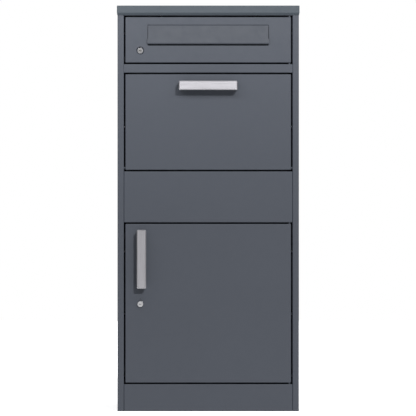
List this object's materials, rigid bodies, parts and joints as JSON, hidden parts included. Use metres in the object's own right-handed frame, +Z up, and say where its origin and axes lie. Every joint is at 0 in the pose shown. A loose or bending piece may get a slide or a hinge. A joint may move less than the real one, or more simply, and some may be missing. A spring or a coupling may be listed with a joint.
{
  "type": "parcel drop box",
  "caption": "Free-standing sheet-metal mail and parcel box with a lockable mail door, a tilting parcel hatch and a lockable parcel door.",
  "frame": {"origin": "bottom centre of the whole box, handles included, on the ground", "axes": "+Z up, the doors face -Y, +X to the right seen from the front"},
  "size_m": [0.45, 0.408, 1],
  "materials": {
    "powder_coat": "fine matt anthracite powder coat",
    "zinc_steel": "bright zinc plate",
    "lock_metal": "satin nickel plate",
    "handle_metal": "satin brushed",
    "nylon": "moulded black nylon",
    "rubber": "matt black"
  },
  "bodies": {
    "cabinet": {"side_panel_left": "powder_coat", "side_panel_right": "powder_coat", "rear_flange_left": "powder_coat", "rear_flange_right": "powder_coat", "back_panel": "powder_coat", "base_panel": "powder_coat", "lid": "powder_coat", "lid_fixings": "zinc_steel", "head_rail": "powder_coat", "rear_rail": "powder_coat", "upper_rail": "powder_coat", "middle_panel": "powder_coat", "plinth": "powder_coat", "mail_shelf": "powder_coat", "anti_theft_baffle": "powder_coat", "mail_lock_strike": "powder_coat", "parcel_lock_strike": "powder_coat", "mail_door_hinge_pins": "powder_coat", "parcel_door_hinge_pins": "powder_coat", "hatch_pivot_pins": "powder_coat", "door_stop_brackets": "powder_coat", "door_buffers": "rubber", "hatch_buffers": "rubber", "back_panel_rivets": "zinc_steel"},
    "mail_door": {"mail_door_skin": "powder_coat", "mail_door_pivot_blocks": "nylon", "mail_slot_hood": "powder_coat", "mail_flap_rod": "powder_coat", "mail_lock_housing": "lock_metal", "mail_lock_nut": "zinc_steel"},
    "mail_flap": {"mail_flap": "powder_coat", "mail_flap_bushes": "nylon"},
    "mail_lock": {"mail_lock_plug": "lock_metal", "mail_lock_cam": "zinc_steel", "mail_lock_cam_screw": "zinc_steel"},
    "parcel_hatch": {"hatch_front": "powder_coat", "hatch_cheek_left": "powder_coat", "hatch_cheek_right": "powder_coat", "hatch_floor": "powder_coat", "hatch_rivets": "zinc_steel", "hatch_pivot_blocks": "nylon", "hatch_stop_pins": "zinc_steel", "hatch_handle": "handle_metal", "hatch_handle_screws": "zinc_steel"},
    "parcel_door": {"parcel_door_skin": "powder_coat", "parcel_door_stiffener": "powder_coat", "parcel_door_pivot_blocks": "nylon", "parcel_door_handle": "handle_metal", "parcel_door_handle_screws": "zinc_steel", "parcel_lock_housing": "lock_metal", "parcel_lock_nut": "zinc_steel"},
    "parcel_lock": {"parcel_lock_plug": "lock_metal", "parcel_lock_cam": "zinc_steel", "parcel_lock_cam_screw": "zinc_steel"}
  },
  "joints": [
    {"name": "mail_door_hinge", "type": "hinge", "parent": "cabinet", "child": "mail_door", "pos_m": [0.20035, -0.1715, 0.91575], "axis": [0, 0, 1], "range_deg": [0, 110]},
    {"name": "mail_flap_hinge", "type": "hinge", "parent": "mail_door", "child": "mail_flap", "pos_m": [0, -0.1728, 0.9495], "axis": [-1, 0, 0], "range_deg": [0, 70]},
    {"name": "mail_lock_turn", "type": "hinge", "parent": "mail_door", "child": "mail_lock", "pos_m": [-0.1676, -0.159, 0.8892], "axis": [0, -1, 0], "range_deg": [0, 90]},
    {"name": "parcel_hatch_hinge", "type": "hinge", "parent": "cabinet", "child": "parcel_hatch", "pos_m": [0, -0.1715, 0.6], "axis": [1, 0, 0], "range_deg": [0, 50]},
    {"name": "parcel_door_hinge", "type": "hinge", "parent": "cabinet", "child": "parcel_door", "pos_m": [0.20035, -0.1715, 0.26625], "axis": [0, 0, 1], "range_deg": [0, 110]},
    {"name": "parcel_lock_turn", "type": "hinge", "parent": "parcel_door", "child": "parcel_lock", "pos_m": [-0.1674, -0.159, 0.2643], "axis": [0, -1, 0], "range_deg": [0, 90]}
  ]
}
